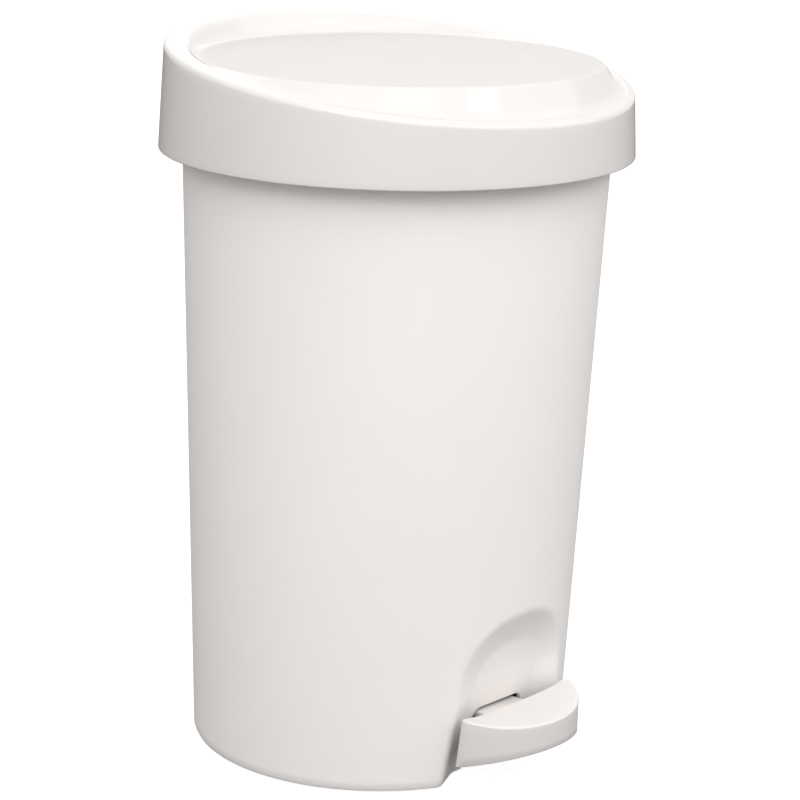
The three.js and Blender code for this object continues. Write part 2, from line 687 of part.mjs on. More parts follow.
function innerBucket() {
  const { bottom, lowRadius, top, highRadius, flange, backY } = BUCKET;
  const wall = 2.2;
  const outside = [[0, bottom], [lowRadius - 3, bottom], [lowRadius, bottom + 3], [highRadius, top],
    [flange, top], [flange, top + FLANGE_THICK], [0, top + FLANGE_THICK]];
  const inside = [[0, bottom + wall], [lowRadius - 4, bottom + wall], [lowRadius - wall, bottom + 5],
    [highRadius - wall, top + 6], [0, top + 6]];
  const outer = solid(ovalled(turned(outside, 60)));
  const hollow = solid(ovalled(turned(inside, 60)));
  const clear = (y) => box([-200, 200], [-200, y], [0, 500]);
  const shell = outer.intersect(clear(backY)).subtract(hollow.intersect(clear(backY - wall)));
  const { earX, axisZ, wire } = HANDLE;
  const lugs = mirroredBoxes([earX - 1.3, earX + 1.3], [-9.5, 2.5], [top + FLANGE_THICK - 1, axisZ + 5]);
  const bore = rodAlongX(wire + GAP, [-earX - 5, earX + 5], -LEAN * axisZ, axisZ, 16);
  return union(shell, lugs).subtract(bore);
}

// The bail's wire: through an ear, forward round the rim, and out through the other ear.
function handleCurve() {
  const { earX, axisZ, frontY, frontZ } = HANDLE;
  const middle = -LEAN * axisZ;
  const inner = earX - 5.5;
  const steps = 14;
  const points = [-earX - 2.5, -inner - 1.2].map((x) => new THREE.Vector3(x, middle, axisZ));
  for (let i = 0; i <= steps; i++) {
    const angle = Math.PI * (0.05 + (0.9 * i) / steps);
    const forward = Math.sin(angle);
    const y = middle + (frontY - middle) * forward;
    const z = axisZ + (frontZ - axisZ) * forward;
    points.push(new THREE.Vector3(-inner * Math.cos(angle), y, z));
  }
  points.push(...[inner + 1.2, earX + 2.5].map((x) => new THREE.Vector3(x, middle, axisZ)));
  return new THREE.CatmullRomCurve3(points, false, "centripetal");
}

function circleShape(radius) {
  const shape = new THREE.Shape();
  shape.absarc(0, 0, radius, 0, 2 * Math.PI);
  return shape;
}

// A round bar along part of the bail's curve.
function alongHandle(radius, from, to, steps, sides) {
  const whole = handleCurve();
  const points = [];
  for (let i = 0; i <= steps; i++) {
    points.push(whole.getPointAt(from + ((to - from) * i) / steps));
  }
  const extrudePath = new THREE.CatmullRomCurve3(points);
  const settings = { steps, extrudePath, bevelEnabled: false, curveSegments: sides };
  return solid(new THREE.ExtrudeGeometry(circleShape(radius), settings));
}

function handleGroup() {
  const wire = alongHandle(HANDLE.wire, 0, 1, 64, 4);
  const grip = alongHandle(HANDLE.grip, 0.38, 0.62, 20, 6).subtract(
    alongHandle(HANDLE.wire + GAP, 0.37, 0.63, 22, 5),
  );
  return groupOf(named("bucket_handle", wire, "steel"), named("handle_grip", grip, "inner"));
}

// ---------------------------------------------------------------- the can

const can = groupOf(
  named("outer_body", outerBody(), "shell"),
  baseGroup(),
  pedalGroup(),
  rodGroup(),
  ...guides(),
  named("hinge_bracket", hingeBracket(), "inner"),
  named("hinge_pin", hingePin(), "steel"),
  bracketScrew(-1),
  bracketScrew(1),
  lidGroup(),
  named("inner_bucket", innerBucket(), "inner"),
  handleGroup(),
);

// The origin is the bottom centre of the can's box, from the pedal's front to the lid's back.
const bounds = new THREE.Box3().setFromObject(can, true);
can.position.y = -(bounds.min.y + bounds.max.y) / 2;

const part = groupOf(can);
export default part;
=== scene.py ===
"""Looks for the pedal trash can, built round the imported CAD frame. Shapes are in millimetres about
the can's upright axis, with +Z up and the pedal towards -Y. place() turns them into metres in the
row's frame."""

import json
import math

import bmesh
import bpy
from mathutils import Matrix, Vector
from mathutils.geometry import delaunay_2d_cdt


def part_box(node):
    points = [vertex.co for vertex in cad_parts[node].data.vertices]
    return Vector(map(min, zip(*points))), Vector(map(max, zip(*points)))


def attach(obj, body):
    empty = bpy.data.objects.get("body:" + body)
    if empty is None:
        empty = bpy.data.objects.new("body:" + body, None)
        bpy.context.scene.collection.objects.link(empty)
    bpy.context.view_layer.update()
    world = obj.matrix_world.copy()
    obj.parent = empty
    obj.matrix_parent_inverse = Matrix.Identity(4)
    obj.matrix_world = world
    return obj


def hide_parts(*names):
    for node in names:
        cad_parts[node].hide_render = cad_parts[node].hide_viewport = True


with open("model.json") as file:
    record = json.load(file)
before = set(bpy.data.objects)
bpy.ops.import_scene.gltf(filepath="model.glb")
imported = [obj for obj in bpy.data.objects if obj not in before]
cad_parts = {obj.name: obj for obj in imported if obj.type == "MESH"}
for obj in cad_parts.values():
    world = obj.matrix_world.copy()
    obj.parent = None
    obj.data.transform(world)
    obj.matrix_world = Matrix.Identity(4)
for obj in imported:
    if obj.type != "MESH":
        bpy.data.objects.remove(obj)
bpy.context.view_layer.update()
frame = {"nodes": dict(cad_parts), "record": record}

MM = 0.001
OVAL = 0.957  # depth of every oval section over its width
LEAN = 0.009  # how far the sections move forward for each millimetre of height
WALL = 2.5
PAD_RADIUS, PAD_CENTRE_Y = 57.5, -92.5
# The can's upright axis lies this far behind the row's origin, in metres.
SHIFT_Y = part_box("pedal_pad")[0].y + (PAD_RADIUS - PAD_CENTRE_Y) * MM


def place(x, y, z):
    return Vector((x * MM, y * MM + SHIFT_Y, z * MM))


# ---------------------------------------------------------------- camera

CAMERA_PLACE = (-1153.80, -1051.05, 637.09)
CAMERA_AZIMUTH, CAMERA_ELEVATION, CAMERA_ROLL = -47.9812, 15.0615, 1.7707
CAMERA_LENS, CAMERA_SENSOR = 114.949, 36.0


def direction(azimuth, elevation):
    """The way from the can towards a camera or light, in degrees. Azimuth 0 is in front of the
    pedal, and grows to the right."""
    a, e = math.radians(azimuth), math.radians(elevation)
    return Vector((math.sin(a) * math.cos(e), -math.cos(a) * math.cos(e), math.sin(e)))


def add_camera():
    back = direction(CAMERA_AZIMUTH, CAMERA_ELEVATION)
    level = Vector((0, 0, 1)).cross(back).normalized()
    roll = math.radians(CAMERA_ROLL)
    right = math.cos(roll) * level + math.sin(roll) * back.cross(level)
    turn = Matrix((right, back.cross(right), back)).transposed().to_4x4()
    data = bpy.data.cameras.new("camera")
    data.sensor_width = CAMERA_SENSOR
    data.lens = CAMERA_LENS
    data.clip_end = 50.0
    camera = bpy.data.objects.new("camera", data)
    bpy.context.scene.collection.objects.link(camera)
    camera.matrix_world = Matrix.Translation(place(*CAMERA_PLACE)) @ turn
    bpy.context.scene.camera = camera


add_camera()


# ---------------------------------------------------------------- materials


class Nodes:
    """A short way to write a material's node tree."""

    def __init__(self, name):
        self.material = bpy.data.materials.new(name)
        self.material.use_nodes = True
        self.tree = self.material.node_tree
        self.shader = self.tree.nodes["Principled BSDF"]
        self.coords = self.add("ShaderNodeTexCoord").outputs["Object"]

    def add(self, kind, **inputs):
        node = self.tree.nodes.new(kind)
        for name, value in inputs.items():
            self.put(node.inputs[name.replace("_", " ")], value)
        return node

    def put(self, socket, value):
        if isinstance(value, bpy.types.NodeSocket):
            self.tree.links.new(value, socket)
        else:
            socket.default_value = value

    def set(self, **inputs):
        for name, value in inputs.items():
            self.put(self.shader.inputs[name.replace("_", " ")], value)

    def noise(self, scale, detail=2.0, roughness=0.5):
        node = self.add("ShaderNodeTexNoise", Vector=self.coords, Scale=scale)
        self.put(node.inputs["Detail"], detail)
        self.put(node.inputs["Roughness"], roughness)
        return node.outputs["Fac"]

    def spread(self, noise, low, high):
        """Stretches the middle of a noise's range over low to high."""
        node = self.add("ShaderNodeMapRange", Value=noise, From_Min=0.3, From_Max=0.7)
        self.put(node.inputs["To Min"], low)
        self.put(node.inputs["To Max"], high)
        return node.outputs["Result"]

    def mix(self, factor, first, second):
        """A colour between two. The Mix node's sockets 6 and 7 and its output 2 are its colours."""
        node = self.add("ShaderNodeMix", Factor=factor)
        node.data_type = "RGBA"
        self.put(node.inputs[6], (*first, 1.0))
        self.put(node.inputs[7], (*second, 1.0))
        return node.outputs[2]

    def bump(self, height, distance, under=None):
        """Relief of a depth in metres, over other relief where there is some."""
        node = self.add("ShaderNodeBump", Height=height, Strength=1.0, Distance=distance)
        if under is not None:
            self.put(node.inputs["Normal"], under)
        return node.outputs["Normal"]


def plastic(name, color, roughness, grain=1400.0, depth=0.00004, swing=0.035):
    """Moulded plastic: faint flow mottling, a fine spark-eroded grain, slightly uneven gloss and
    broad shallow waves."""
    n = Nodes(name)
    mottle = n.spread(n.noise(7.0, detail=4.0, roughness=0.6), 0.0, 1.0)
    n.set(Base_Color=n.mix(mottle, [c * 0.975 for c in color], color))
    gloss = n.noise(38.0, detail=3.0, roughness=0.55)
    n.set(Roughness=n.spread(gloss, roughness - swing, roughness + swing))
    fine = n.bump(n.noise(grain, detail=3.0, roughness=0.6), depth)
    n.set(Normal=n.bump(n.noise(16.0, detail=1.0), 0.00012, under=fine))
    n.set(IOR=1.46)
    return n.material


def glossy(name, color, roughness):
    """Plastic from a polished mould."""
    return plastic(name, color, roughness, grain=300.0, depth=0.00001, swing=0.02)


def metal(name, color, roughness):
    """Zinc-plated steel: streaks, cloudy plating and fine pitting."""
    n = Nodes(name)
    streaks = n.noise(90.0, detail=4.0, roughness=0.6)
    clouds = n.spread(n.noise(30.0, detail=4.0, roughness=0.6), 0.0, 1.0)
    n.set(Base_Color=n.mix(clouds, [c * 0.8 for c in color], color))
    n.set(Roughness=n.spread(streaks, roughness - 0.08, roughness + 0.12))
    pits = n.bump(n.noise(1200.0), 0.00002)
    n.set(Normal=n.bump(streaks, 0.00004, under=pits))
    n.set(Metallic=1.0)
    return n.material


def rubber(name, color):
    """Rubber, a little paler where dust clings to it."""
    n = Nodes(name)
    dust = n.spread(n.noise(55.0, detail=5.0, roughness=0.65), 0.0, 1.0)
    n.set(Base_Color=n.mix(dust, color, [c * 1.25 + 0.01 for c in color]))
    n.set(Roughness=n.spread(n.noise(140.0, detail=3.0), 0.78, 0.93))
    n.set(Normal=n.bump(n.noise(1600.0, detail=3.0, roughness=0.7), 0.00006))
    n.set(IOR=1.5)
    return n.material


BODY = plastic("body_matt", (0.835, 0.805, 0.785), 0.46)
LID_GLOSS = glossy("lid_gloss", (0.66, 0.636, 0.622), 0.14)
# Painted shade: the lid's own gloss plastic, made darker for the disc's edge, the cone, the ledge
# and the shoulder, where the lights from above fall more strongly than on the skirt.
LID_RIM_PAINTED_SHADE = glossy("lid_rim_painted_shade", (0.62, 0.597, 0.583), 0.12)
LID_DISC = plastic("lid_disc", (0.56, 0.54, 0.525), 0.5, grain=1100.0, depth=0.0001)
PEDAL = plastic("pedal_satin", (0.67, 0.644, 0.628), 0.34)
BUCKET = plastic("bucket_grey", (0.60, 0.61, 0.62), 0.42)
FITTING = plastic("fitting_natural", (0.72, 0.71, 0.68), 0.4)
STEEL = metal("zinc_steel", (0.62, 0.63, 0.65), 0.32)
RUBBER = rubber("grey_rubber", (0.16, 0.16, 0.165))


# ---------------------------------------------------------------- mesh building


class Mesh:
    """Collects vertices, in millimetres about the can's axis, and faces."""

    def __init__(self):
        self.points = []
        self.faces = []
        self.kinds = []

    def add(self, x, y, z):
        self.points.append((x, y, z))
        return len(self.points) - 1

    def row(self, points):
        return [self.add(*p) for p in points]

    def face(self, *corners, kind=0):
        self.faces.append(corners)
        self.kinds.append(kind)

    def grid(self, rows, closed=False):
        """Faces between successive rows of equal length."""
        for low, high in zip(rows, rows[1:]):
            count = len(low)
            for i in range(count if closed else count - 1):
                j = (i + 1) % count
                self.face(low[i], low[j], high[j], high[i])

    def make(self, name, body, materials, node, merge=0.01, sharp=35.0):
        """Welds the points closer than merge, and makes the piece that stands for a CAD node."""
        mesh = bpy.data.meshes.new(name)
        mesh.from_pydata([place(*p) for p in self.points], [], self.faces)
        mesh.polygons.foreach_set("material_index", self.kinds)
        for material in materials:
            mesh.materials.append(material)
        bm = bmesh.new()
        bm.from_mesh(mesh)
        bmesh.ops.remove_doubles(bm, verts=bm.verts, dist=merge * MM)
        bmesh.ops.dissolve_degenerate(bm, edges=bm.edges, dist=0.0005 * MM)
        loose = [v for v in bm.verts if not v.link_faces]
        bmesh.ops.delete(bm, geom=loose, context="VERTS")
        bmesh.ops.recalc_face_normals(bm, faces=bm.faces)
        bm.to_mesh(mesh)
        bm.free()
        mesh.polygons.foreach_set("use_smooth", [True] * len(mesh.polygons))
        mesh.set_sharp_from_angle(angle=math.radians(sharp))
        piece = bpy.data.objects.new(name, mesh)
        bpy.context.scene.collection.objects.link(piece)
        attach(piece, body)
        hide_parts(node)


def eased_corner(before, corner, after, count):
    """A rounded corner through three points, as a curve that leaves each side smoothly."""
    points = []
    for i in range(count + 1):
        t = i / count
        a, b, c = (1 - t) ** 2, 2 * t * (1 - t), t * t
        points.append(tuple(a * p + b * q + c * r for p, q, r in zip(before, corner, after)))
    return points


def smooth_step(low, high, value):
    t = min(1.0, max(0.0, (value - low) / (high - low)))
    return t * t * (3 - 2 * t)


def lerp(a, b, t):
    return tuple(p + (q - p) * t for p, q in zip(a, b))


def unit(v):
    size = math.sqrt(sum(c * c for c in v))
    return tuple(c / size for c in v)


def on_oval(radius, z, angle):
    """A point on a level oval about the can's axis. The angle is 0 at the front."""
    return (radius * math.sin(angle), -OVAL * radius * math.cos(angle) - LEAN * z, z)


def with_angles(even, special):
    """Even angles and special ones in order, without those even ones that crowd a special one."""
    return sorted([a for a in even if min(abs(a - s) for s in special) > 0.008] + special)


# ---------------------------------------------------------------- body

BODY_BOTTOM, BODY_TOP = 1.5, 402.0
BODY_RADIUS, BODY_TAPER = 121.8, 0.035  # half the width at the floor, and its growth with height
CHAMFER, CHAMFER_TOP = 1.2, 4.0
# The front of the wall up to PATCH_TOP, and out to PATCH_ANGLE on both sides, is a patch round the
# recess.
PATCH_TOP = 150.0
PATCH_ANGLE = math.radians(42.0)
RECESS_OUTER = {"foot": 55.5, "half": 48.0, "spring": 55.0, "apex": 106.5}
RECESS_INNER = {"foot": 33.0, "half": 30.0, "spring": 55.0, "apex": 85.0}
RECESS_FOOT_Z = -10.0  # the height at which an arch's leg is its foot's half width
RECESS_SQUARENESS = 2.3
RECESS_BACK, RECESS_LEAN = -93.0, 0.2
RECESS_EASE, RECESS_FILLET = 3.2, 3.6
PATCH_SIDE_STEPS = 16  # how many of the arch's samples meet each side of the patch
SLOT = {"half": 23.0, "top": 43.0, "corner": 6.5}
NOTCH = {"half": 10.0, "bottom": 377.4}
BACK_STEPS = 120


def body_radius(z):
    chamfer = CHAMFER * max(0.0, CHAMFER_TOP - z) / (CHAMFER_TOP - BODY_BOTTOM)
    return BODY_RADIUS + BODY_TAPER * max(z, CHAMFER_TOP) - chamfer


def on_body(angle, z, offset=0.0):
    """A point on the body's outside, or off it."""
    return on_oval(body_radius(z) + offset, z, angle)


def body_angle(x, z):
    """The angle at which the body's outside, at a height, is x to the right."""
    return math.asin(x / body_radius(z))


def arch_samples():
    """(height, None) along the arch's legs and (None, angle) round its top, left foot to right."""
    legs = [BODY_BOTTOM, CHAMFER_TOP] + [8 + 4.7 * i for i in range(10)]
    steps = 64
    arc = [math.pi * (1 - i / steps) for i in range(steps + 1)]
    return [(z, None) for z in legs] + [(None, a) for a in arc] + [(z, None) for z in legs[::-1]]


def arch_point(shape, sample, side):
    """A sample's point (x, z) on an arch. Side is -1 for the left leg and 1 for the right."""
    height, angle = sample
    if angle is None:
        share = (height - RECESS_FOOT_Z) / (shape["spring"] - RECESS_FOOT_Z)
        return side * (shape["foot"] + (shape["half"] - shape["foot"]) * share), height
    across = abs(math.cos(angle)) ** (2 / RECESS_SQUARENESS)
    up = math.sin(angle) ** (2 / RECESS_SQUARENESS)
    x = math.copysign(across, math.cos(angle)) * shape["half"]
    return x, shape["spring"] + (shape["apex"] - shape["spring"]) * up


def arch_outline(shape, samples):
    """An arch's points (x, z), from its left foot to its right."""
    middle = len(samples) / 2
    return [arch_point(shape, s, -1 if i < middle else 1) for i, s in enumerate(samples)]


def slot_outline(count):
    """Points round the slot's edge, evenly spaced from its left foot to its right."""
    half, top, corner = SLOT["half"], SLOT["top"], SLOT["corner"]
    line = [(-half, BODY_BOTTOM)]
    for i in range(9):
        a = math.pi - math.pi / 2 * i / 8
        line.append((corner * math.cos(a) - half + corner, top - corner + corner * math.sin(a)))
    line += [(-x, z) for x, z in line[::-1]]
    lengths = [0.0]
    for a, b in zip(line, line[1:]):
        lengths.append(lengths[-1] + math.dist(a, b))
    points = []
    for i in range(count):
        want = lengths[-1] * i / (count - 1)
        k = max(j for j in range(len(line) - 1) if lengths[j] <= want + 1e-9)
        span = lengths[k + 1] - lengths[k]
        points.append(lerp(line[k], line[k + 1], (want - lengths[k]) / span))
    return points


def back_wall(x, z, deeper=0.0):
    """The recess's back, which leans forward with height."""
    return (x, RECESS_BACK - RECESS_LEAN * z + deeper, z)


def patch_edge(samples):
    """Where each arch sample meets the patch's border, as (angle, height) on the body."""
    arc = [i for i, s in enumerate(samples) if s[1] is not None]
    last = len(arc) - 1
    top = last - 2 * PATCH_SIDE_STEPS
    edge = []
    for i, (height, _) in enumerate(samples):
        side_angle = -PATCH_ANGLE if i < len(samples) / 2 else PATCH_ANGLE
        k = i - arc[0]
        from_end = min(k, last - k)
        if height is not None:
            edge.append((side_angle, height))
        elif from_end <= PATCH_SIDE_STEPS:
            up = from_end / PATCH_SIDE_STEPS
            z = RECESS_OUTER["spring"] + (PATCH_TOP - RECESS_OUTER["spring"]) * up
            edge.append((side_angle, z))
        else:
            edge.append((PATCH_ANGLE * (2 * (k - PATCH_SIDE_STEPS) / top - 1), PATCH_TOP))
    return edge


def body_patch_column(i, border, outer, inner, slot, straight):
    """One line of points from the body's plain wall, over the recess's edge and across its wall to
    the slot, then back behind the wall. The last five are the hidden side. Border, outer, inner and
    slot are the point's own four outlines, and straight says that it lies on the arch's leg."""
    ax, az = outer[i]
    bx, bz = inner[i]
    sx, sz = slot[i]
    # outward direction of the arch, in the plane of X and Z
    if straight:
        nx, nz = math.copysign(1.0, ax), 0.0
    else:
        tx, tz = outer[i + 1][0] - outer[i - 1][0], outer[i + 1][1] - outer[i - 1][1]
        size = math.hypot(tx, tz)
        nx, nz = -tz / size, tx / size

    # the plain wall, from the patch's border
    corner = on_body(body_angle(ax, az), az)
    x1, z1 = ax + nx * RECESS_EASE, az + nz * RECESS_EASE
    start = (body_angle(x1, z1), z1)
    points = [on_body(*lerp(border[i], start, k / 10)) for k in range(10)]

    # the recess's eased edge, its side wall and the fillet at its back
    foot = back_wall(bx, bz)
    wall = unit([q - p for p, q in zip(corner, foot)])
    turn = min(RECESS_FILLET, math.dist(corner, foot) * 0.42)
    first = tuple(c + RECESS_EASE * w for c, w in zip(corner, wall))
    last = tuple(c - turn * w for c, w in zip(foot, wall))
    reach = math.dist(inner[i], slot[i])
    flat = lerp(inner[i], slot[i], min(0.45, turn / reach))
    points += eased_corner(on_body(*start), corner, first, 7)
    points += [lerp(first, last, k / 4) for k in range(1, 4)]
    points += eased_corner(last, foot, back_wall(*flat), 8)

    # the flat back, to the slot's edge and through it
    rim = lerp(flat, slot[i], 1 - 1.0 / max(3.0, math.dist(flat, slot[i])))
    points += [back_wall(*lerp(flat, rim, k / 4)) for k in range(1, 4)]
    points += eased_corner(back_wall(*rim), back_wall(sx, sz), back_wall(sx, sz, 1.0), 3)
    points.append(back_wall(sx, sz, WALL))

    # the hidden side
    points.append(back_wall(bx + nx * 2, bz + nz * 2, WALL))
    px, pz = ax + nx * 3, az + nz * 3
    hidden = (body_angle(px, pz), pz)
    points += [on_body(*lerp(hidden, border[i], k / 3), -WALL) for k in range(4)]
    return points


def build_body():
    mesh = Mesh()
    samples = arch_samples()
    edge = patch_edge(samples)
    outlines = (edge, arch_outline(RECESS_OUTER, samples), arch_outline(RECESS_INNER, samples),
                slot_outline(len(samples)))
    columns = []
    for i, (_, angle) in enumerate(samples):
        columns.append(mesh.row(body_patch_column(i, *outlines, straight=angle is None)))
    mesh.grid(columns)
    for column in (columns[0], columns[-1]):
        mesh.face(*column)

    # the rest of the wall, up to the patch's top, from its right border round to its left
    first_arc = [i for i, s in enumerate(samples) if s[1] is not None][0]
    heights = [z for _, z in edge[: first_arc + PATCH_SIDE_STEPS + 1]]
    notch = math.asin(NOTCH["half"] / body_radius(NOTCH["bottom"]))
    span = 2 * (math.pi - PATCH_ANGLE)
    even = [PATCH_ANGLE + span * k / BACK_STEPS for k in range(BACK_STEPS + 1)]
    round_back = with_angles(even, [math.pi - notch, math.pi + notch])
    for offset in (0.0, -WALL):
        mesh.grid([mesh.row([on_body(a, z, offset) for a in round_back]) for z in heights])
    mesh.grid([mesh.row([on_body(a, BODY_BOTTOM, o) for a in round_back]) for o in (0.0, -WALL)])

    # above the patch, all the way round: up the outside, round the rim's bead, down the inside
    front = [a for a, z in edge if z == PATCH_TOP and abs(a) < PATCH_ANGLE]
    angles = sorted([*front, -PATCH_ANGLE]) + round_back[:-1]
    walls = [PATCH_TOP + 20 * k for k in range(12)] + [NOTCH["bottom"], 387.0, 396.0]
    profile = [(0.0, z) for z in walls]
    profile += [(offset, BODY_TOP - down) for offset, down in (
        (0.0, 4.8), (0.25, 4.25), (0.8, 4.0), (2.4, 4.0), (2.85, 3.85), (3.0, 3.4),
        (3.0, 0.7), (2.8, 0.2), (2.3, 0.0), (-1.8, 0.0), (-2.3, 0.2), (-WALL, 0.7))]
    profile += [(-WALL, z) for z in walls[::-1]]
    rows = [mesh.row([on_body(a, z, offset) for a in angles]) for offset, z in profile]

    # the notch for the hinge cuts the rows from its bottom, over the rim, to its bottom again
    first = walls.index(NOTCH["bottom"])
    last = len(profile) - 1 - first
    ends = angles[1:] + [angles[0] + 2 * math.pi]
    in_notch = [abs((a + b) / 2 - math.pi) < notch for a, b in zip(angles, ends)]
    for i, cut in enumerate(in_notch):
        j = (i + 1) % len(angles)
        for k in range(len(rows) - 1):
            if not (cut and first <= k < last):
                mesh.face(rows[k][i], rows[k][j], rows[k + 1][j], rows[k + 1][i])
        if cut:
            mesh.face(rows[first][i], rows[first][j], rows[last][j], rows[last][i])
        if cut != in_notch[i - 1]:
            mesh.face(*[row[i] for row in rows[first : last + 1]])
    mesh.make("outer_body_shell", "can", [BODY], "outer_body")


# ---------------------------------------------------------------- lid

SKIRT_BOTTOM, SKIRT_RADIUS, SHOULDER_RADIUS, SHOULDER_EASE = 378.0, 150.0, 147.2, 3.6
RIM_HEIGHT, RIM_SLOPE = 431.2, 0.126
LEDGE_RADIUS, LEDGE_SWING = 135.5, 2.2
DISC_RADIUS, DISC_HEIGHT = 127.2, 433.6
WINDOW = {"half": 40.0, "top": 390.5}
LID_STEPS = 288


def rim_height(radius, angle):
    """Height of the sloping plane that cuts the lid's top, low in front and high behind."""
    return RIM_HEIGHT - RIM_SLOPE * OVAL * radius * math.cos(angle)


def skirt_radius(z, angle, inset=0.0):
    top = rim_height(SHOULDER_RADIUS, angle)
    share = (z - SKIRT_BOTTOM) / (top - SKIRT_BOTTOM)
    return SKIRT_RADIUS + (SHOULDER_RADIUS - SKIRT_RADIUS) * share - inset


def lid_angles():
    """Angles round the lid, with its hinge window's corners, and the skirt's bottom at each."""
    half, top = WINDOW["half"], WINDOW["top"]
    edge = [(half + 0.9, SKIRT_BOTTOM), (half + 0.25, SKIRT_BOTTOM + 0.2),
            (half + 0.05, SKIRT_BOTTOM + 0.8), (half - 0.05, top - 1.5), (half - 0.4, top - 0.4),
            (half - 1.4, top)]
    turns = [(math.asin(x / (SKIRT_RADIUS - 0.5)), z) for x, z in edge]
    bottoms = {math.pi + way * turn: z for turn, z in turns for way in (-1, 1)}
    inside = turns[-1][0]
    even = [2 * math.pi * k / LID_STEPS for k in range(LID_STEPS)]
    return [(a, bottoms.get(a, top if abs(a - math.pi) < inside else SKIRT_BOTTOM))
            for a in with_angles(even, list(bottoms))]


def lid_profile(angle, bottom):
    """The lid's section at one angle as (radius, z), from the disc's middle, over the rim, down the
    skirt and back along the underside, then the rows at which the disc and the rim end. The rim's
    rows, from the disc's edge over the cone and ledge to the shoulder, take a darker copy of the
    lid's gloss plastic, which is painted shade."""

    def skirt(z, inset=0.0):
        return (skirt_radius(z, angle, inset), z)

    # the level disc, its eased edge, the cone, and the eased foot where the cone meets the ledge
    ledge = LEDGE_RADIUS + LEDGE_SWING * math.cos(angle)
    foot = (ledge, rim_height(ledge, angle))
    edge = (DISC_RADIUS, DISC_HEIGHT)
    rise = smooth_step(-5.0, 5.0, foot[1] - edge[1])
    disc_ease, foot_ease = 1.1 + 6.0 * rise, 4.8 - 0.8 * rise
    cone = unit((foot[0] - edge[0], foot[1] - edge[1]))
    before = (edge[0] - disc_ease, edge[1])
    after = (edge[0] + disc_ease * cone[0], edge[1] + disc_ease * cone[1])
    low = (foot[0] - foot_ease * cone[0], foot[1] - foot_ease * cone[1])
    high = (foot[0] + foot_ease, rim_height(foot[0] + foot_ease, angle))
    out = [(r, DISC_HEIGHT) for r in (0.0, 30.0, 60.0, 90.0, 112.0, before[0] - 3.0)]
    disc_end = len(out) + 2
    out += eased_corner(before, edge, after, 6)
    out += [lerp(after, low, k / 4) for k in range(1, 4)]
    out += eased_corner(low, foot, high, 6)

    # the ledge, slightly crowned, and the shoulder
    near_radius = SHOULDER_RADIUS - SHOULDER_EASE
    near = (near_radius, rim_height(near_radius, angle))
    for k in range(1, 4):
        r, z = lerp(high, near, k / 4)
        out.append((r, z + 0.3 * math.sin(math.pi * k / 4)))
    top = rim_height(SHOULDER_RADIUS, angle)
    side = skirt(top - SHOULDER_EASE)
    shaded_rim_end = len(out) + 5
    out += eased_corner(near, (SHOULDER_RADIUS, top), side, 8)

    # the skirt's outside, its foot and its inside
    out += [skirt(side[1] + (bottom + 1.0 - side[1]) * k / 12) for k in range(1, 12)]
    out += eased_corner(skirt(bottom + 1.0), skirt(bottom), skirt(bottom, 0.9), 4)
    inner = skirt(bottom, WALL)
    out += eased_corner(skirt(bottom, WALL - 0.5), inner, (inner[0], bottom + 0.5), 3)
    under = rim_height(SHOULDER_RADIUS - WALL, angle) - WALL
    inside = under - 2.0 - bottom - 0.5
    out += [skirt(bottom + 0.5 + inside * k / 8, WALL) for k in range(1, 9)]

    # the underside
    out.append((SHOULDER_RADIUS - WALL - 2.0, under))
    out.append((LEDGE_RADIUS + 2.7, foot[1] - WALL))
    out += [(r, DISC_HEIGHT - WALL)
            for r in (DISC_RADIUS - LEDGE_SWING * math.cos(angle), 100.0, 60.0, 0.0)]
    return out, disc_end, shaded_rim_end


def build_lid():
    mesh = Mesh()
    columns = []
    for angle, bottom in lid_angles():
        profile, disc_end, shaded_rim_end = lid_profile(angle, bottom)
        columns.append(mesh.row([on_oval(r, z, angle) for r, z in profile]))
    for i, column in enumerate(columns):
        other = columns[(i + 1) % len(columns)]
        for k in range(len(column) - 1):
            # kind 2, the rim, takes the darker copy of the gloss plastic, which is painted shade
            kind = 1 if k < disc_end else 2 if k < shaded_rim_end else 0
            mesh.face(column[k], other[k], other[k + 1], column[k + 1], kind=kind)
    mesh.make("lid_shell", "lid", [LID_GLOSS, LID_DISC, LID_RIM_PAINTED_SHADE], "lid")


# ---------------------------------------------------------------- pedal pad

PAD_BACK_Y, PAD_TOP = -113.0, 45.0
PAD_RISE, PAD_TIP = 4.0, 52.0  # the top rises by this much at this distance to each side
PAD_CORNER, PAD_FOOT_CORNER = 5.2, 4.5
PAD_FOOT_BACK = 2.0  # how much further back the skirt reaches at its foot
PAD_EASE = 1.6
PAD_STEPS = {"front": 120, "back": 60, "corner": 9}
RIDGE_PITCH, RIDGE_HEIGHT = 2.6, 0.2
# The neck that goes through the slot, and the ribs under the pad, as spans of X, Y and Z.
NECK = ((-18.5, 18.5), (-115.0, -62.0), (36.3, 40.6))
RIBS = [((x - 1, x + 1), (front, -114.5), (30.0, 43.5))
        for x, front in ((-25, -140), (0, -147), (25, -140))]
RIBS.append(((-40, 40), (-131, -129), (30.0, 43.0)))


def corner_centre(reach, back, corner):
    """The centre (x, y) of the right corner's arc, which touches the front arc and the back."""
    y = back - corner
    return math.sqrt((reach - corner) ** 2 - (y - PAD_CENTRE_Y) ** 2), y


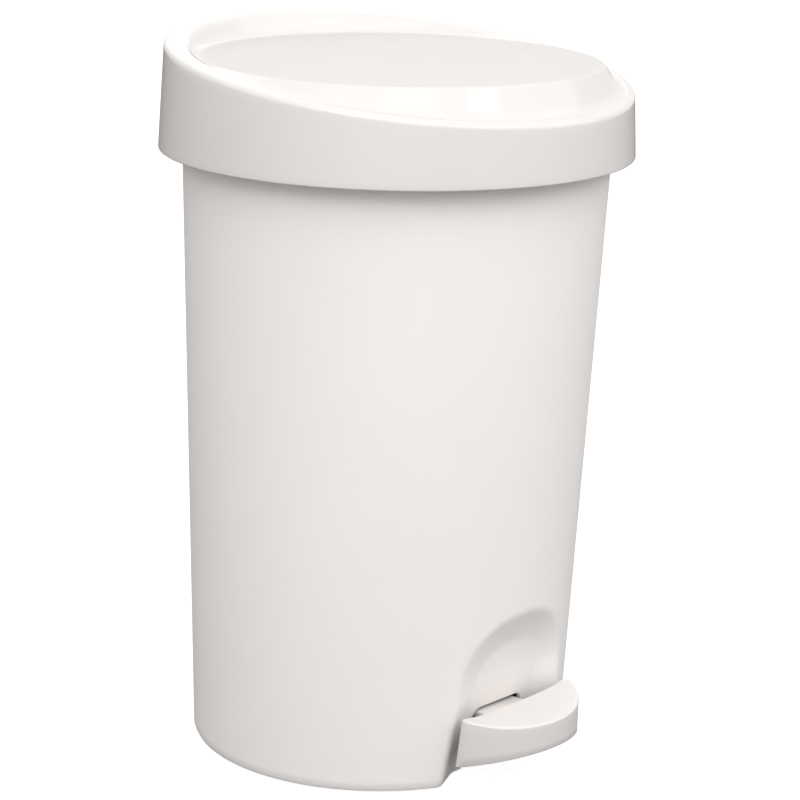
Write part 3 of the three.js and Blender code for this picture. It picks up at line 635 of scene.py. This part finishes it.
def pad_outline(inset, down=0.0):
    """Points round the pad, seen from above: the front arc, then a corner, the back, a corner.
    Down is 0 at the top of the skirt and 1 at its foot."""
    corner = max(0.4, PAD_CORNER + (PAD_FOOT_CORNER - PAD_CORNER) * down - inset)
    reach = PAD_RADIUS - inset
    back = PAD_BACK_Y + PAD_FOOT_BACK * down - inset
    side, y = corner_centre(reach, back, corner)
    lean = math.atan2(PAD_CENTRE_Y - y, side)
    points = []

    def arc(x, y, radius, start, end, count):
        for k in range(count):
            a = start + (end - start) * k / count
            points.append((x + radius * math.cos(a), y + radius * math.sin(a)))

    arc(0, PAD_CENTRE_Y, reach, math.pi + lean, 2 * math.pi - lean, PAD_STEPS["front"])
    arc(side, y, corner, 2 * math.pi - lean, 2.5 * math.pi, PAD_STEPS["corner"])
    for k in range(PAD_STEPS["back"]):
        points.append((side - 2 * side * k / PAD_STEPS["back"], back))
    arc(-side, y, corner, math.pi / 2, math.pi + lean, PAD_STEPS["corner"])
    return points


def inside_pad(x, y):
    """Whether a point is well inside the top's border."""
    reach, back, corner = PAD_RADIUS - PAD_EASE, PAD_BACK_Y - PAD_EASE, PAD_CORNER - PAD_EASE
    if y > back - 0.35 or math.hypot(x, y - PAD_CENTRE_Y) > reach - 0.35:
        return False
    side, level = corner_centre(reach, back, corner)
    return abs(x) <= side or math.hypot(abs(x) - side, y - level) <= corner - 0.3


def pad_dish(x):
    """Height of the pad's dished top without its ridges."""
    return PAD_TOP + PAD_RISE * min(1.6, abs(x / PAD_TIP) ** 4)


def pad_top(x, y):
    """Height of the pad's top with its arc ridges, which fade out towards its border and middle."""
    inward = PAD_RADIUS - math.hypot(x, y - PAD_CENTRE_Y)
    fade = smooth_step(4.4, 5.2, inward) * (1 - smooth_step(24.0, 26.0, inward))
    fade *= smooth_step(2.6, 4.2, PAD_BACK_Y - y)
    wave = 0.5 - 0.5 * math.cos(2 * math.pi * (inward - 4.6) / RIDGE_PITCH)
    return pad_dish(x) + RIDGE_HEIGHT * fade * wave * wave


def pad_under(y):
    """Height of the skirt's foot, which rises towards the front."""
    return 17.0 + 0.27 * (PAD_BACK_Y - y)


def filled(outline, inside=()):
    """Points and triangles that fill an outline, through some points inside it."""
    count = len(outline)
    loop = [(i, (i + 1) % count) for i in range(count)]
    result = delaunay_2d_cdt([Vector(p) for p in (*outline, *inside)], loop, [], 1, 1e-4)
    return result[0], result[2]


def ridge_points():
    """Points along arcs round the pad's centre, close enough to carry the ridges."""
    points = []
    distance = 21.2
    while distance < PAD_RADIUS - PAD_EASE - 0.5:
        behind = PAD_CENTRE_Y - PAD_BACK_Y + PAD_EASE + 0.4
        limit = math.acos(min(1.0, behind / distance))
        count = max(2, int(distance * 2 * limit / 1.6))
        for k in range(count + 1):
            a = limit * (2 * k / count - 1) * 0.995
            x, y = distance * math.sin(a), PAD_CENTRE_Y - distance * math.cos(a)
            if inside_pad(x, y):
                points.append((x, y))
        distance += RIDGE_PITCH / 6
    return points


def build_pad(mesh):
    # the top's eased edge, then the skirt, then the inside of the skirt
    rings = []
    for k in range(6):
        a = math.pi / 2 * k / 5
        drop = PAD_EASE * (1 - math.cos(a))
        border = pad_outline(PAD_EASE * (1 - math.sin(a)))
        rings.append(mesh.row([(x, y, pad_dish(x) - drop) for x, y in border]))
    for share in (0.25, 0.5, 0.75, 1.0):
        rings.append(mesh.row([
            (x, y, (pad_dish(x) - PAD_EASE) * (1 - share) + (pad_under(y) + 0.5) * share)
            for x, y in pad_outline(0.0, share)]))
    for inset, lift in ((0.4, 0.0), (2.0, 0.0), (WALL, 0.5)):
        border = pad_outline(inset, 1.0)
        rings.append(mesh.row([(x, y, pad_under(y) + lift) for x, y in border]))
    inner = pad_outline(WALL)
    rings.append(mesh.row([(x, y, pad_dish(x) - WALL) for x, y in inner]))
    mesh.grid(rings, closed=True)
    # the ridged top, and the plain underside of the top
    points, faces = filled(pad_outline(PAD_EASE), ridge_points())
    top = mesh.row([(p.x, p.y, pad_top(p.x, p.y)) for p in points])
    for face in faces:
        mesh.face(*[top[i] for i in face])
    points, faces = filled(inner)
    low = mesh.row([(p.x, p.y, pad_dish(p.x) - WALL) for p in points])
    for face in faces:
        mesh.face(*[low[i] for i in face[::-1]])


def add_box(mesh, x, y, z, ease):
    """A box with eased edges over a span of X, Y and Z, added to a mesh."""
    sx, sy, sz = (sorted(v) for v in (x, y, z))
    levels = [(sz[0], ease), (sz[0] + ease * 0.3, ease * 0.3), (sz[0] + ease, 0.0),
              (sz[1] - ease, 0.0), (sz[1] - ease * 0.3, ease * 0.3), (sz[1], ease)]
    rows = []
    for height, inset in levels:
        ring = []
        x0, x1, y0, y1 = sx[0] + inset, sx[1] - inset, sy[0] + inset, sy[1] - inset
        for cx, cy, start in ((x1, y0, -90), (x1, y1, 0), (x0, y1, 90), (x0, y0, 180)):
            for k in range(4):
                a = math.radians(start + 30 * k)
                ux = cx - math.copysign(ease, cx - (x0 + x1) / 2)
                uy = cy - math.copysign(ease, cy - (y0 + y1) / 2)
                ring.append((ux + ease * math.cos(a), uy + ease * math.sin(a), height))
        rows.append(mesh.row(ring))
    mesh.grid(rows, closed=True)
    mesh.face(*rows[0][::-1])
    mesh.face(*rows[-1])


def build_pedal():
    mesh = Mesh()
    build_pad(mesh)
    add_box(mesh, *NECK, 0.9)
    for rib in RIBS:
        add_box(mesh, *rib, 0.4)
    mesh.make("pedal_pad_moulding", "pedal", [PEDAL], "pedal_pad",
              merge=0.002, sharp=40)


# ---------------------------------------------------------------- bucket and handle


BUCKET_BACK, BUCKET_WALL = 103.0, 2.2
BUCKET_FOOT, BUCKET_FLANGE = 68.0, 402.3
BUCKET_STEPS = 192
BAIL_RADIUS = 2.0
# The part of the bail's length that its grip covers.
GRIP_START, GRIP_END = 0.38, 0.62
GRIP_RIBS = 9


def bucket_wall(low, high, start, end):
    """Points up or down the bucket's tapered wall, of radius low at its foot and high at its
    flange, between two heights."""
    points = []
    for k in range(15):
        z = start + (end - start) * k / 14
        share = (z - BUCKET_FOOT) / (BUCKET_FLANGE - BUCKET_FOOT)
        points.append((low + (high - low) * share, z))
    return points


def build_bucket():
    """The bucket is an oval section, up its outside, round its flange and down its inside. It is
    flat at the back, where the lift rod passes behind it."""
    mesh = Mesh()
    outside = [(0.0, 64.0), (60.0, 64.0), (100.0, 64.0), (103.5, 64.3), (105.4, 65.6)]
    outside += bucket_wall(106.2, 128.0, BUCKET_FOOT, BUCKET_FLANGE - 3)
    outside += [(128.0, 401.3), (128.3, 402.0), (129.0, 402.3), (137.2, 402.3),
                (137.8, 402.6), (138.0, 403.2), (137.9, 404.0), (137.3, 404.6)]
    inside = [(129.0, 404.6), (127.0, 404.3), (125.9, 403.2), (125.7, 402.0)]
    inside += bucket_wall(104.0, 125.7, 401.0, 70.0)[1:]
    inside += [(103.4, 68.2), (101.6, 66.7), (98.5, 66.2), (60.0, 66.2), (0.0, 66.2)]
    profile = [(r, z, BUCKET_BACK) for r, z in outside]
    profile += [(r, z, BUCKET_BACK - BUCKET_WALL) for r, z in inside]
    columns = []
    for k in range(BUCKET_STEPS):
        column = []
        for radius, height, back in profile:
            x, y, z = on_oval(radius, height, 2 * math.pi * k / BUCKET_STEPS)
            column.append((x, min(y, back), z))
        columns.append(mesh.row(column))
    mesh.grid(columns + columns[:1])
    # the ears that hold the bail's ends
    for side in (-1, 1):
        add_box(mesh, (side * 129.7, side * 132.3), (-9.5, 2.5), (403.6, 417.0), 0.9)
    mesh.make("bucket_moulding", "can", [BUCKET], "inner_bucket")


def tube(mesh, path, radius, sides):
    """A round bar with flat ends along a path of points. Radius is a function of the share of the
    path's points passed."""
    rows = []
    normal = Vector((0, 0, 1))
    for i, p in enumerate(path):
        ahead = Vector(path[min(i + 1, len(path) - 1)]) - Vector(path[max(i - 1, 0)])
        forward = ahead.normalized()
        normal = (normal - forward * normal.dot(forward)).normalized()
        across = forward.cross(normal)
        r = radius(i / (len(path) - 1))
        ring = []
        for k in range(sides):
            a = 2 * math.pi * k / sides
            ring.append(tuple(Vector(p) + r * (math.cos(a) * normal + math.sin(a) * across)))
        rows.append(mesh.row(ring))
    mesh.grid(rows, closed=True)
    mesh.face(*rows[0])
    mesh.face(*rows[-1])


def handle_path():
    """The bail's centreline, from outside its left ear, round the front, to outside its right."""
    ear, height, front, front_height = 131.0, 412.0, -118.5, 408.9
    middle = -LEAN * height
    inner = ear - 5.5
    points = [(-ear - 2.5, middle, height), (-inner - 1.2, middle, height)]
    for i in range(15):
        angle = math.pi * (0.05 + 0.9 * i / 14)
        forward = math.sin(angle)
        points.append((-inner * math.cos(angle), middle + (front - middle) * forward,
                       height + (front_height - height) * forward))
    points += [(inner + 1.2, middle, height), (ear + 2.5, middle, height)]
    return rounded_path(points, 8)


def rounded_path(points, per_span):
    """A centripetal Catmull-Rom curve through the points."""
    pts = [Vector(p) for p in points]
    pts = [2 * pts[0] - pts[1]] + pts + [2 * pts[-1] - pts[-2]]
    out = []
    for i in range(1, len(pts) - 2):
        p = pts[i - 1 : i + 3]
        t = [0.0]
        for a, b in zip(p, p[1:]):
            t.append(t[-1] + max((b - a).length ** 0.5, 1e-6))
        for k in range(per_span):
            u = t[1] + (t[2] - t[1]) * k / per_span
            a1 = (t[1] - u) / (t[1] - t[0]) * p[0] + (u - t[0]) / (t[1] - t[0]) * p[1]
            a2 = (t[2] - u) / (t[2] - t[1]) * p[1] + (u - t[1]) / (t[2] - t[1]) * p[2]
            a3 = (t[3] - u) / (t[3] - t[2]) * p[2] + (u - t[2]) / (t[3] - t[2]) * p[3]
            b1 = (t[2] - u) / (t[2] - t[0]) * a1 + (u - t[0]) / (t[2] - t[0]) * a2
            b2 = (t[3] - u) / (t[3] - t[1]) * a2 + (u - t[1]) / (t[3] - t[1]) * a3
            out.append((t[2] - u) / (t[2] - t[1]) * b1 + (u - t[1]) / (t[2] - t[1]) * b2)
    out.append(pts[-2])
    return [tuple(p) for p in out]


def grip_radius(t):
    """The grip's radius along its length: shut down on the wire at its ends, ribbed between."""
    edge = min(t, 1 - t)
    ribs = 0.28 * (0.5 - 0.5 * math.cos(2 * math.pi * t * GRIP_RIBS))
    ribs *= smooth_step(0.05, 0.12, edge)
    return 2.35 + 1.65 * smooth_step(0.0, 0.03, edge) - ribs


def build_handle():
    path = handle_path()
    wire = Mesh()
    tube(wire, path, lambda t: BAIL_RADIUS, 16)
    wire.make("bail_wire", "handle", [STEEL], "bucket_handle")
    lengths = [0.0]
    for a, b in zip(path, path[1:]):
        lengths.append(lengths[-1] + math.dist(a, b))
    part = [p for p, s in zip(path, lengths) if GRIP_START < s / lengths[-1] < GRIP_END]
    grip = Mesh()
    tube(grip, rounded_path(part, 6), grip_radius, 24)
    grip.make("bail_grip", "handle", [FITTING], "handle_grip")


# ---------------------------------------------------------------- small CAD pieces, refined

EASE_WIDTH, EASE_SEGMENTS = 0.4, 2


def refine(node, body, material):
    """A copy of a CAD piece with its flats merged and its sharp edges eased."""
    bm = bmesh.new()
    bm.from_mesh(frame["nodes"][node].data)
    bmesh.ops.remove_doubles(bm, verts=bm.verts, dist=0.01 * MM)
    bmesh.ops.dissolve_limit(bm, angle_limit=math.radians(1.0), verts=bm.verts, edges=bm.edges)
    mesh = bpy.data.meshes.new(node + "_eased")
    bm.to_mesh(mesh)
    bm.free()
    mesh.materials.clear()
    mesh.materials.append(material)
    piece = bpy.data.objects.new(node + "_eased", mesh)
    bpy.context.scene.collection.objects.link(piece)
    bevel = piece.modifiers.new("ease", "BEVEL")
    bevel.width = EASE_WIDTH * MM
    bevel.segments = EASE_SEGMENTS
    bevel.limit_method = "ANGLE"
    bevel.angle_limit = math.radians(32)
    bpy.context.view_layer.update()
    eased = piece.evaluated_get(bpy.context.evaluated_depsgraph_get())
    final = bpy.data.meshes.new_from_object(eased)
    piece.modifiers.clear()
    piece.data = final
    final.polygons.foreach_set("use_smooth", [True] * len(final.polygons))
    final.set_sharp_from_angle(angle=math.radians(35))
    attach(piece, body)
    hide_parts(node)


build_body()
build_lid()
build_pedal()
build_bucket()
build_handle()

MATERIAL_OF_SLOT = {
    "body_plastic": BODY,
    "lid_plastic": LID_GLOSS,
    "pedal_plastic": PEDAL,
    "bucket_plastic": BUCKET,
    "fitting_plastic": FITTING,
    "steel": STEEL,
    "rubber": RUBBER,
}
SLOT_OF_NODE = {s["node"]: s["material_slot"] for s in frame["record"]["subparts"]}
REBUILT = {"outer_body", "lid", "pedal_pad", "inner_bucket", "bucket_handle", "handle_grip"}
for body, members in frame["record"]["behaviour"]["bodies"].items():
    for node in members:
        if node not in REBUILT:
            slot = SLOT_OF_NODE[node]
            refine(node, body, MATERIAL_OF_SLOT[slot])


# ---------------------------------------------------------------- floor and light


FLOOR_SIZE = 6.0
FLOOR_GLOW = 0.9
WORLD_COLOR, WORLD_LIGHT = (1.0, 0.985, 0.975, 1.0), 0.92
BACKDROP_LIGHT = 1.05
LIGHT_DISTANCE = 2.6
LIGHT_AIM = (0, 0, 230)
# name, azimuth, elevation, (width, height) in metres, watts
LIGHTS = [
    ("softbox_left", -69.5, 38, (1.1, 0.9), 8.0),
    ("strip_right", 11.6, 38, (0.5, 1.0), 5.0),
    ("front", -45, 45, (1.8, 1.8), 16.5),
    ("front_low", -48, 18, (1.8, 1.8), 5.0),
    ("pedal_side", -15, 35, (1.8, 1.8), 9.0),
    ("left", -105, 30, (1.8, 1.8), 3.0),
    ("right", 45, 32, (1.8, 1.8), 9.5),
    ("right_high", 25, 62, (1.8, 1.8), 3.3),
    ("top", -48, 75, (1.8, 1.8), 6.0),
    ("back", 140, 30, (1.8, 1.8), 4.0),
]


def add_floor():
    """A floor that glows pale when looked at, and is a plain dull surface to other light."""
    bm = bmesh.new()
    bmesh.ops.create_grid(bm, x_segments=1, y_segments=1, size=FLOOR_SIZE)
    mesh = bpy.data.meshes.new("floor")
    bm.to_mesh(mesh)
    bm.free()
    floor = bpy.data.objects.new("floor", mesh)
    bpy.context.scene.collection.objects.link(floor)
    n = Nodes("floor_white")
    n.set(Base_Color=(0.3, 0.3, 0.3, 1.0), Roughness=0.9)
    n.set(Emission_Color=(1.0, 1.0, 1.0, 1.0), Emission_Strength=FLOOR_GLOW)
    plain = n.add("ShaderNodeBsdfDiffuse", Color=(0.2, 0.2, 0.2, 1.0))
    path = n.add("ShaderNodeLightPath")
    mix = n.add("ShaderNodeMixShader", Fac=path.outputs["Is Camera Ray"])
    n.put(mix.inputs[1], plain.outputs["BSDF"])
    n.put(mix.inputs[2], n.shader.outputs["BSDF"])
    n.put(n.tree.nodes["Material Output"].inputs["Surface"], mix.outputs["Shader"])
    mesh.materials.append(n.material)


def add_light(name, azimuth, elevation, size, watts):
    """A softbox that faces the can."""
    way = direction(azimuth, elevation)
    data = bpy.data.lights.new(name, "AREA")
    data.shape = "RECTANGLE"
    data.size, data.size_y = size
    data.energy = watts
    light = bpy.data.objects.new(name, data)
    bpy.context.scene.collection.objects.link(light)
    light.location = place(*LIGHT_AIM) + way * LIGHT_DISTANCE
    light.rotation_euler = way.to_track_quat("Z", "Y").to_euler()


def add_world():
    """Soft light from all round, seen by the camera as plain white."""
    world = bpy.data.worlds.new("studio")
    bpy.context.scene.world = world
    world.use_nodes = True
    tree = world.node_tree
    light = tree.nodes["Background"]
    light.inputs["Color"].default_value = WORLD_COLOR
    light.inputs["Strength"].default_value = WORLD_LIGHT
    seen = tree.nodes.new("ShaderNodeBackground")
    seen.inputs["Color"].default_value = (1, 1, 1, 1)
    seen.inputs["Strength"].default_value = BACKDROP_LIGHT
    path = tree.nodes.new("ShaderNodeLightPath")
    mix = tree.nodes.new("ShaderNodeMixShader")
    tree.links.new(path.outputs["Is Camera Ray"], mix.inputs["Fac"])
    tree.links.new(light.outputs["Background"], mix.inputs[1])
    tree.links.new(seen.outputs["Background"], mix.inputs[2])
    tree.links.new(mix.outputs["Shader"], tree.nodes["World Output"].inputs["Surface"])


add_floor()
add_world()
for light in LIGHTS:
    add_light(*light)

view = bpy.context.scene.view_settings
view.view_transform = "Standard"
view.look = "None"
view.exposure = 0.0
view.gamma = 1.0
